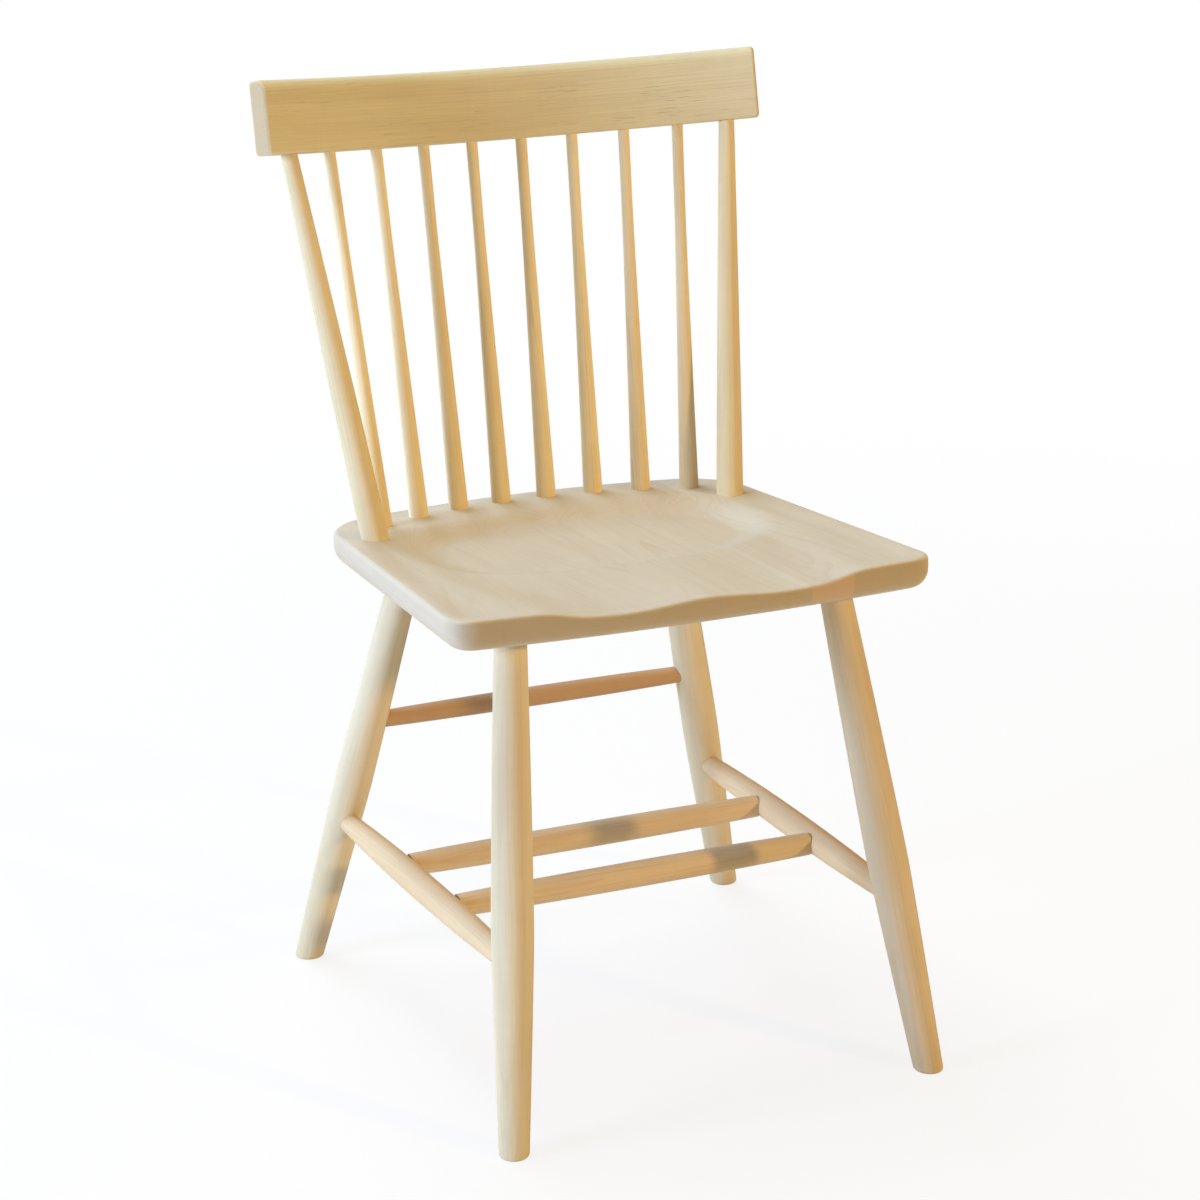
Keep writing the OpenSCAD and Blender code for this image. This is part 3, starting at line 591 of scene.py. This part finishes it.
# Diameter along a swelling turning: least at both ends, by a power of the distance from the middle
def swellD(midD, endD, t):
    return midD - (midD - endD) * np.abs(2 * t - 1) ** stretcherForm["power"]


def sideD(s):
    return swellD(stretcherForm["midD"], stretcherForm["endD"], (s - sideBare) / (sideL - 2 * sideBare))


def makeSideStretcher(name, node, side):
    f = stretcherForm
    a, b = sideEnd(False, side), sideEnd(True, side)
    stations = tenonStart(f["endD"] / 2, -f["pastMiddle"]) \
        + [[s, float(sideD(s)) / 2] for s in np.linspace(sideBare, sideL - sideBare, f["steps"])] \
        + tenonEnd(f["endD"] / 2, sideL + f["pastMiddle"])
    piece = newPiece(name, turnedMesh(name, a, b, stations), node, "stretcher_maple")
    bores = [[rungEnd(s, side), rungEnd(s, -side), rungForm["tenonD"], f["pastMiddle"], f["midD"]]
             for s in (rungForm["frontAlong"], rungForm["rearAlong"])]
    combine(piece, boreMesh(bores), "DIFFERENCE")
    turningGrain(piece, a, b)


# Rungs: two between the side stretchers, and one between the rear legs
rungForm = {
    "frontAlong": 151, "rearAlong": 264.5, "midD": 24.5, "endD": 21, "tenonD": 13,
    "rearHigh": 248, "rearMidD": 19.2, "rearEndD": 16.4, "rearTenonD": 11,
    "tipReach": 2.2, "tipEase": 0.9, "tipTurn": 0.3, "steps": 64, "metSteps": 25, "metAround": 160,
}


# Places on a side stretcher's axis and on a rear leg's axis where the rungs end
def rungEnd(along, side):
    return between(sideEnd(False, side), sideEnd(True, side), along / sideL)


def rearRungEnd(side):
    return onLeg(True, side, rungForm["rearHigh"])


# A rung swells to its middle. Its ends are hollowed to the rounds that they meet, given as the two ends
# of an axis and diameters along it, and a tenon is put back in each. The tips beside the hollow
# are blunt and eased, so they reach only a little way over the round.
def makeRung(name, node, a, b, bare, midD, endD, tenonD, rounds):
    f = rungForm
    l, past = np.linalg.norm(b - a), stretcherForm["pastMiddle"]
    tip, ease, r = bare - f["tipReach"], f["tipEase"], endD / 2
    turn = f["tipTurn"] * ease
    blunt = [[tip, r - 2 * ease], [tip, r - ease], [tip + turn, r - turn], [tip + ease, r]]
    swell = [[between(bare, l - bare, t), float(swellD(midD, endD, t)) / 2]
             for t in np.linspace(0, 1, f["steps"])]
    stations = blunt + swell + [[l - s, q] for s, q in reversed(blunt)]
    piece = newPiece(name, turnedMesh(name, a, b, stations), node, "rung_maple")
    for start, end, diameters in rounds:
        met = [[s, d / 2 + fits["shoulderGap"]] for s, d in diameters]
        combine(piece, turnedMesh("round", start, end, met, f["metAround"]), "DIFFERENCE")
    tenon = tenonStart(tenonD / 2, -past) + tenonEnd(tenonD / 2, l + past)
    combine(piece, turnedMesh("tenon", a, b, tenon), "UNION")
    turningGrain(piece, a, b)


def makeCrossRung(name, node, along):
    f = rungForm
    a, b = rungEnd(along, -1), rungEnd(along, 1)
    near = [(s, float(sideD(s))) for s in np.linspace(along - f["endD"], along + f["endD"], f["metSteps"])]
    rounds = [(sideEnd(False, side), sideEnd(True, side), near) for side in (-1, 1)]
    makeRung(name, node, a, b, float(sideD(along)) / 2, f["midD"], f["endD"], f["tenonD"], rounds)


def makeRearRung(name, node):
    f = rungForm
    a, b = rearRungEnd(-1), rearRungEnd(1)
    l = np.linalg.norm(legTop(True, 1) - footOf(True, 1))
    at = np.linalg.norm(b - footOf(True, 1))
    near = [(s, float(legD(True, s, l)))
            for s in np.linspace(at - f["rearEndD"], at + f["rearEndD"], f["metSteps"])]
    rounds = [(footOf(True, side), legTop(True, side), near) for side in (-1, 1)]
    makeRung(name, node, a, b, float(legD(True, at, l)) / 2, f["rearMidD"], f["rearEndD"],
             f["rearTenonD"], rounds)


# Spindles: evenly spaced round an arc on the seat, and evenly between the posts under the crest rail
spindleNumbers = range(1, 9)
spindleForm = {
    "middle": 4.5, "seatPitch": 47.1, "arcR": 356, "arcY": 226, "postGap": 44.7,
    "seatD": 18.8, "topD": 10.8, "taperL": 265, "power": 1.2,
    "taperSteps": 70, "topSteps": 12, "around": 64,
}
postTopX = railForm["wide"] / 2 - railForm["overhang"]
spindleTopPitch = 2 * (postTopX - spindleForm["postGap"]) / (len(spindleNumbers) - 1)


# Ends of a spindle's axis, on the seat's top plane and at the rail's bottom edge
def spindleFoot(i):
    f = spindleForm
    angle = (i - f["middle"]) * f["seatPitch"] / f["arcR"]
    return seatPoint([f["arcR"] * sin(angle), f["arcY"] - f["arcR"] * (1 - cos(angle)), 0])


def spindleHead(i):
    x = (i - spindleForm["middle"]) * spindleTopPitch
    return railPoint([x, railMidBack(x), 0])


# A spindle is a cone that thins by a power curve to its upper diameter, then runs straight
def makeSpindle(name, node, i):
    f = spindleForm
    a, b = spindleFoot(i), spindleHead(i)
    l = np.linalg.norm(b - a)
    topR, seatR = f["topD"] / 2, f["seatD"] / 2
    h = np.linspace(0, f["taperL"], f["taperSteps"])
    r = topR + (seatR - topR) * (1 - h / f["taperL"]) ** f["power"]
    stations = tenonStart(seatR, -seatForm["socketL"]) + np.stack([h, r], -1).tolist() \
        + [[s, topR] for s in np.linspace(f["taperL"], l, f["topSteps"])[1:]] \
        + tenonEnd(topR, l + railForm["socketL"])
    piece = newPiece(name, turnedMesh(name, a, b, stations, f["around"]), node, "spindle_maple")
    turningGrain(piece, a, b)


# Posts: stout at the seat, thinning by a power curve to where they are cut off under the crest rail
postForm = {
    "seatX": 182.2, "seatY": 145.5, "seatD": 25.8, "topD": 15, "tenonD": 11, "power": 1.15, "steps": 80,
}


def postFoot(side):
    return seatPoint([side * postForm["seatX"], postForm["seatY"], 0])


def postHead(side):
    return railPoint([side * postTopX, railMidBack(postTopX), 0])


def makePost(name, node, side):
    f = postForm
    a, b = postFoot(side), postHead(side)
    l = np.linalg.norm(b - a)
    topR = f["topD"] / 2
    t = np.linspace(0, 1, f["steps"])
    r = topR + (f["seatD"] / 2 - topR) * (1 - t ** f["power"])
    stations = tenonStart(f["seatD"] / 2, -seatForm["socketL"]) + np.stack([t * l, r], -1).tolist() \
        + [[l + f["topD"], topR]]
    piece = newPiece(name, turnedMesh(name, a, b, stations), node, "post_maple")
    cutOff(piece, railPoint, a, b, f["tenonD"], railForm["socketL"])
    turningGrain(piece, a, b)


makeRail("crestRail", "crest_rail")
print("crest rail bent")
for word, side in (("left", -1), ("right", 1)):
    makePost(f"{word}Post", f"post_{word}", side)
for i in spindleNumbers:
    makeSpindle(f"spindle{i}", f"spindle_{i}", i)
print("posts and spindles turned")
makeSeat()
print("seat boards carved")
for rearWord, rear in (("front", False), ("rear", True)):
    for word, side in (("left", -1), ("right", 1)):
        makeLeg(f"{rearWord}Leg{word.title()}", f"leg_{rearWord}_{word}", rear, side)
for word, side in (("left", -1), ("right", 1)):
    makeSideStretcher(f"{word}Stretcher", f"side_stretcher_{word}", side)
makeCrossRung("frontCrossRung", "cross_rung_front", rungForm["frontAlong"])
makeCrossRung("rearCrossRung", "cross_rung_rear", rungForm["rearAlong"])
makeRearRung("rearRung", "rear_rung")
print("legs, stretchers and rungs turned")


# Hex sRGB colour as linear light
def colour(text):
    c = np.array([int(text[i:i + 2], 16) / 255 for i in (1, 3, 5)])
    linear = np.where(c <= 0.04045, c / 12.92, ((c + 0.055) / 1.055) ** 2.4)
    return (*linear.tolist(), 1.0)


# Adds a node with its settings, sets or links its inputs by place or by name, and gives one output
def addNode(tree, kind, inputs=(), out=0, **settings):
    made = tree.nodes.new("ShaderNode" + kind)
    for name, value in settings.items():
        setattr(made, name, value)
    for name, value in inputs.items() if isinstance(inputs, dict) else enumerate(inputs):
        if isinstance(value, bpy.types.NodeSocket):
            tree.links.new(value, made.inputs[name])
        else:
            made.inputs[name].default_value = value
    return made.outputs[out] if made.outputs else None


# Maple, sanded and left bare: close pale wood with faint rings, silky broad streaks and small flecks.
# What ends in Mm is in millimetres, and what ends in Show is a strength from 0 to 1.
mapleLook = {
    "pale": "#cec1a8", "warm": "#c1af91", "ring": "#9d8058", "fleck": "#86603a", "endWood": "#ae9e7d",
    # the dark colour on the next line is what tone darkens towards, and on spindle 8 it is also painted
    # shade
    "heartAndShade": "#a8784e",
    "ringMm": 2.4, "ringShow": 0.22, "wanderMm": 9, "unevenMm": 7.0, "unevenBy": 1.6,
    "ringRise": (0.45, 0.88), "ringDrop": (0.90, 1.0), "ringWeakest": 0.25, "fadedTo": 0.25,
    "fleckShow": 0.3, "fleckShare": 0.72, "fleckSoft": 0.06, "fleckWhere": (0.44, 0.66),
    "streakShow": 0.9, "streakPart": 0.6, "fibreShow": 0.12, "waveShow": 0.04, "toneShow": 0.6,
    "endShow": 0.8, "endWhere": (0.45, 0.95), "jointShow": 0, "jointMm": (0.1, 0.7),
    "roughness": 0.72, "roughVary": 0.12, "specular": 0.12,
    "bumpShow": 0.25, "bumpMetres": 0.0002, "ringBump": -0.4,
}
# Sizes of the patterns in millimetres, across the grain and along it. The fibres and flecks are drawn
# a little coarser than real ones, so that they show.
grainMm = {
    "wander": (42, 300), "fade": (30, 90), "streak": (15, 240), "patch": (70, 160), "fibre": (1.3, 45),
    "wave": (26, 7), "fleck": (1.1, 30), "fleckPatch": (26, 90),
}
smooth = {"interpolation_type": "SMOOTHSTEP"}


def mapleMaterial(name, changes):
    look = {**mapleLook, **changes}
    material = bpy.data.materials.new(name)
    material.use_nodes = True
    tree = material.node_tree
    tree.nodes.clear()
    add = partial(addNode, tree)

    # Soft noise stretched to a pattern's size
    def cloud(place, pattern, detail=2.0, out="Fac"):
        across, along = grainMm[pattern]
        scaled = add("VectorMath", (place, (1 / across, 1 / across, 1 / along)), operation="MULTIPLY")
        return add("TexNoise", {"Vector": scaled, "Scale": 1.0, "Detail": detail}, out,
                   noise_dimensions="3D")

    place = add("Attribute", out="Vector", attribute_name="grainPlace")
    way = add("Attribute", out="Vector", attribute_name="grainWay")
    # how dark each piece is drawn: its wood's tone, and on spindle 8 partly painted shade
    tone = add("Attribute", out="Fac", attribute_name="toneAndShade")

    # Growth rings: distance from the pith, pushed about by slow noise, cut into rings of uneven width
    push = (look["wanderMm"], look["wanderMm"], 0)
    bent = add("VectorMath", (cloud(place, "wander", 3.0, "Color"), push, place), operation="MULTIPLY_ADD")
    across = add("VectorMath", (bent, (1, 1, 0)), operation="MULTIPLY")
    fromPith = add("VectorMath", (across,), "Value", operation="LENGTH")
    coarse = add("Math", (fromPith, look["unevenMm"]), operation="DIVIDE")
    uneven = add("TexNoise", {"W": coarse, "Scale": 1.0, "Detail": 1.0}, "Fac", noise_dimensions="1D")
    even = add("Math", (fromPith, look["ringMm"]), operation="DIVIDE")
    phase = add("Math", (uneven, look["unevenBy"], even), operation="MULTIPLY_ADD")
    inRing = add("Math", (phase,), operation="FRACT")
    ringNumber = add("Math", (phase,), operation="FLOOR")
    chance = add("TexWhiteNoise", {"W": ringNumber}, "Value", noise_dimensions="1D")

    # Each ring darkens slowly and ends sharply. Some are weaker than others, and all fade here and there.
    lateWood = add("MapRange", (inRing, *look["ringRise"]), **smooth)
    ringEdge = add("MapRange", (inRing, *look["ringDrop"], 1.0, 0.0), **smooth)
    weakest = look["ringWeakest"]
    strength = add("Math", (chance, 1 - weakest, weakest), operation="MULTIPLY_ADD")
    faded = add("MapRange", (cloud(place, "fade"), 0.35, 0.65, look["fadedTo"], 1.0), **smooth)
    line = add("Math", (lateWood, ringEdge), operation="MULTIPLY")
    line = add("Math", (line, strength), operation="MULTIPLY")
    ringLine = add("Math", (line, faded), operation="MULTIPLY")

    # Streaks a finger wide in broader patches, fibres, cross waves, and flecks that come in patches too
    streak = add("MapRange", (cloud(bent, "streak", 3.0), 0.3, 0.7), **smooth)
    patch = add("MapRange", (cloud(place, "patch"), 0.3, 0.7), **smooth)
    fibre = cloud(place, "fibre", 3.0)
    wave = cloud(place, "wave")
    share = look["fleckShare"]
    speck = add("MapRange", (cloud(place, "fleck", 1.0), share, share + look["fleckSoft"]), **smooth)
    fleckHere = add("MapRange", (cloud(place, "fleckPatch"), *look["fleckWhere"]), **smooth)
    fleck = add("Math", (speck, fleckHere), operation="MULTIPLY")

    # End grain: how far the face looks along the grain
    normal = add("NewGeometry", out="Normal")
    along = add("VectorMath", (normal, way), "Value", operation="DOT_PRODUCT")
    facing = add("Math", (along,), operation="ABSOLUTE")
    endShare = add("MapRange", (facing, *look["endWhere"]), **smooth)

    # Colour: pale to warm by streaks and patches, then each mark over it in turn
    most, part = look["streakShow"], look["streakPart"]
    warmth = add("Math", (patch, most * (1 - part)), operation="MULTIPLY")
    warmth = add("Math", (streak, most * part, warmth), operation="MULTIPLY_ADD")
    tint = add("Mix", {"Factor": warmth, "A": colour(look["pale"]), "B": colour(look["warm"])}, "Result",
               data_type="RGBA")
    # the dark mark laid on by tone is the wood's own darker colour, and on spindle 8 partly painted shade
    marks = (("ring", ringLine, "ringShow"), ("fleck", fleck, "fleckShow"), ("heartAndShade", tone, "toneShow"),
             ("endWood", endShare, "endShow"))
    for mark, where, show in marks:
        shownMark = add("Math", (where, look[show]), operation="MULTIPLY")
        tint = add("Mix", {"Factor": shownMark, "A": tint, "B": colour(look[mark])}, "Result",
                   data_type="RGBA")

    # Lightness: fibres and waves about their middle, less a fine line at each glue joint
    light = 1.0
    for pattern, show in ((fibre, "fibreShow"), (wave, "waveShow")):
        aboutMiddle = add("Math", (pattern, 0.5), operation="SUBTRACT")
        light = add("Math", (aboutMiddle, look[show], light), operation="MULTIPLY_ADD")
    if look["jointShow"]:
        near = add("Attribute", out="Vector", attribute_name="jointNear")
        parts = add("SeparateXYZ", (near,)).node.outputs
        gap = add("Math", (parts["X"], parts["Y"]), operation="MINIMUM")
        glueLine = add("MapRange", (gap, *look["jointMm"], 1.0, 0.0), **smooth)
        light = add("Math", (glueLine, -look["jointShow"], light), operation="MULTIPLY_ADD")
    shown = add("VectorMath", {0: tint, "Scale": light}, operation="SCALE")

    vary = look["roughVary"]
    rough = add("Math", (fibre, vary, look["roughness"] - vary / 2), operation="MULTIPLY_ADD")
    rough = add("Math", (endShare, vary, rough), operation="MULTIPLY_ADD")
    height = add("Math", (ringLine, look["ringBump"], fibre), operation="MULTIPLY_ADD")
    bump = add("Bump", {"Height": height, "Strength": look["bumpShow"], "Distance": look["bumpMetres"]})
    shader = add("BsdfPrincipled", {"Base Color": shown, "Roughness": rough,
                                    "Specular IOR Level": look["specular"], "Normal": bump})
    add("OutputMaterial", {"Surface": shader})
    return material


seatLook = {"ringMm": 3.0, "ringShow": 0.16, "jointShow": 0.05, "fleckShare": 0.76, "streakShow": 0.35}
looks = {
    "rail_maple": {"pale": "#dad0aa", "warm": "#c7ba94", "endWood": "#c6ad86", "fleckShow": 0.45,
                   "fleckShare": 0.665, "fibreShow": 0.2, "streakShow": 0.55},
    "post_maple": {"pale": "#e7d7ad", "warm": "#d7c397", "fleckShow": 0.2},
    "spindle_maple": {"pale": "#f4e5bd", "warm": "#e5d2a2", "fleckShow": 0.25},
    "seat_maple": seatLook,
    "seat_maple_warm": {**seatLook, "endWood": "#c3a481"},
    "leg_maple": {"pale": "#ded0ae", "warm": "#cfbe98", "fleckShow": 0.2, "ringShow": 0.12},
    "stretcher_maple": {"pale": "#e0c69b", "warm": "#d3b68b", "fleckShow": 0.2, "ringShow": 0.15},
    "rung_maple": {"pale": "#e4cda5", "warm": "#d5bc8f", "fleckShow": 0.25},
}
for slot, changes in looks.items():
    material = mapleMaterial(slot.replace("_", " "), changes)
    for piece in [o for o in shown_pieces() if o.get("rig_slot") == slot]:
        piece.data.materials.clear()
        piece.data.materials.append(material)
print("maple finished")

# Floor: pale and plain. To the camera it is mostly white paper, which still takes the chair's shadow,
# and all white further out. Lengths are in metres from here on.
floorForm = {"half": 30, "tint": "#e6e2da", "whiteNear": 0.82, "whiteFrom": 0.7, "whiteTo": 2.4}
half = floorForm["half"]
floorMesh = bpy.data.meshes.new("floor")
floorMesh.from_pydata([(-half, -half, 0), (half, -half, 0), (half, half, 0), (-half, half, 0)], [],
                      [(0, 1, 2, 3)])
floor = bpy.data.objects.new("floor", floorMesh)
bpy.context.scene.collection.objects.link(floor)
paper = bpy.data.materials.new("white paper")
paper.use_nodes = True
tree = paper.node_tree
tree.nodes.clear()
onFloor = addNode(tree, "TexCoord", out="Object")
away = addNode(tree, "VectorMath", (onFloor,), "Value", operation="LENGTH")
whiteShare = addNode(tree, "MapRange", (away, floorForm["whiteFrom"], floorForm["whiteTo"],
                                        floorForm["whiteNear"], 1.0), **smooth)
toCamera = addNode(tree, "LightPath", out="Is Camera Ray")
share = addNode(tree, "Math", (toCamera, whiteShare), operation="MULTIPLY")
matt = addNode(tree, "BsdfDiffuse", {"Color": colour(floorForm["tint"])})
white = addNode(tree, "Emission", {"Color": (1, 1, 1, 1), "Strength": 1.0})
both = addNode(tree, "MixShader", (share, matt, white))
addNode(tree, "OutputMaterial", {"Surface": both})
floorMesh.materials.append(paper)

lampAim = vec(0, 0, 0.45)
lamps = {
    "behindHigh": {"at": (-1.01, 2.49, 4.43), "size": 2.6, "watts": 123, "tint": "#bad4ff"},
    "window": {"at": (-4.89, 0.00, 1.49), "size": 1.6, "watts": 301, "tint": "#bad4ff"},
    "behind": {"at": (-0.36, 4.08, 3.32), "size": 2.4, "watts": 103, "tint": "#bad4ff"},
    "overhead": {"at": (-0.14, 0.77, 4.88), "size": 2.5, "watts": 81, "tint": "#f9ffdd"},
    "lamp": {"at": (2.60, -3.80, 1.98), "size": 0.24, "watts": 105, "tint": "#ffd286"},
}
for name, lamp in lamps.items():
    light = bpy.data.lights.new(name, "AREA")
    light.shape = "SQUARE"
    light.size = lamp["size"]
    light.energy = lamp["watts"]
    light.color = colour(lamp["tint"])[:3]
    holder = bpy.data.objects.new(name, light)
    bpy.context.scene.collection.objects.link(holder)
    at = vec(*lamp["at"])
    holder.location = at
    holder.rotation_euler = Vector(lampAim - at).to_track_quat("-Z", "Y").to_euler()

# World: even warm fill from all round, and plain white behind the chair
worldForm = {"tint": "#ffd9b5", "strength": 0.24}
world = bpy.data.worlds.new("studio")
bpy.context.scene.world = world
world.use_nodes = True
tree = world.node_tree
tree.nodes.clear()
toCamera = addNode(tree, "LightPath", out="Is Camera Ray")
fill = addNode(tree, "Background", {"Color": colour(worldForm["tint"]), "Strength": worldForm["strength"]})
backdrop = addNode(tree, "Background", {"Color": (1, 1, 1, 1), "Strength": 1.0})
both = addNode(tree, "MixShader", (toCamera, fill, backdrop))
addNode(tree, "OutputWorld", {"Surface": both})

cameraForm = {"at": (-1.1752, -2.6084, 1.3338), "down": 18.12, "turn": -24.16, "lens": 98.29, "sensor": 36}
camera = bpy.data.objects.new("camera", bpy.data.cameras.new("camera"))
bpy.context.scene.collection.objects.link(camera)
camera.location = cameraForm["at"]
camera.rotation_euler = (radians(90 - cameraForm["down"]), 0, radians(cameraForm["turn"]))
camera.data.lens = cameraForm["lens"]
camera.data.sensor_width = cameraForm["sensor"]
bpy.context.scene.camera = camera
bpy.context.scene.view_settings.view_transform = "Standard"
print("lamps and camera set")
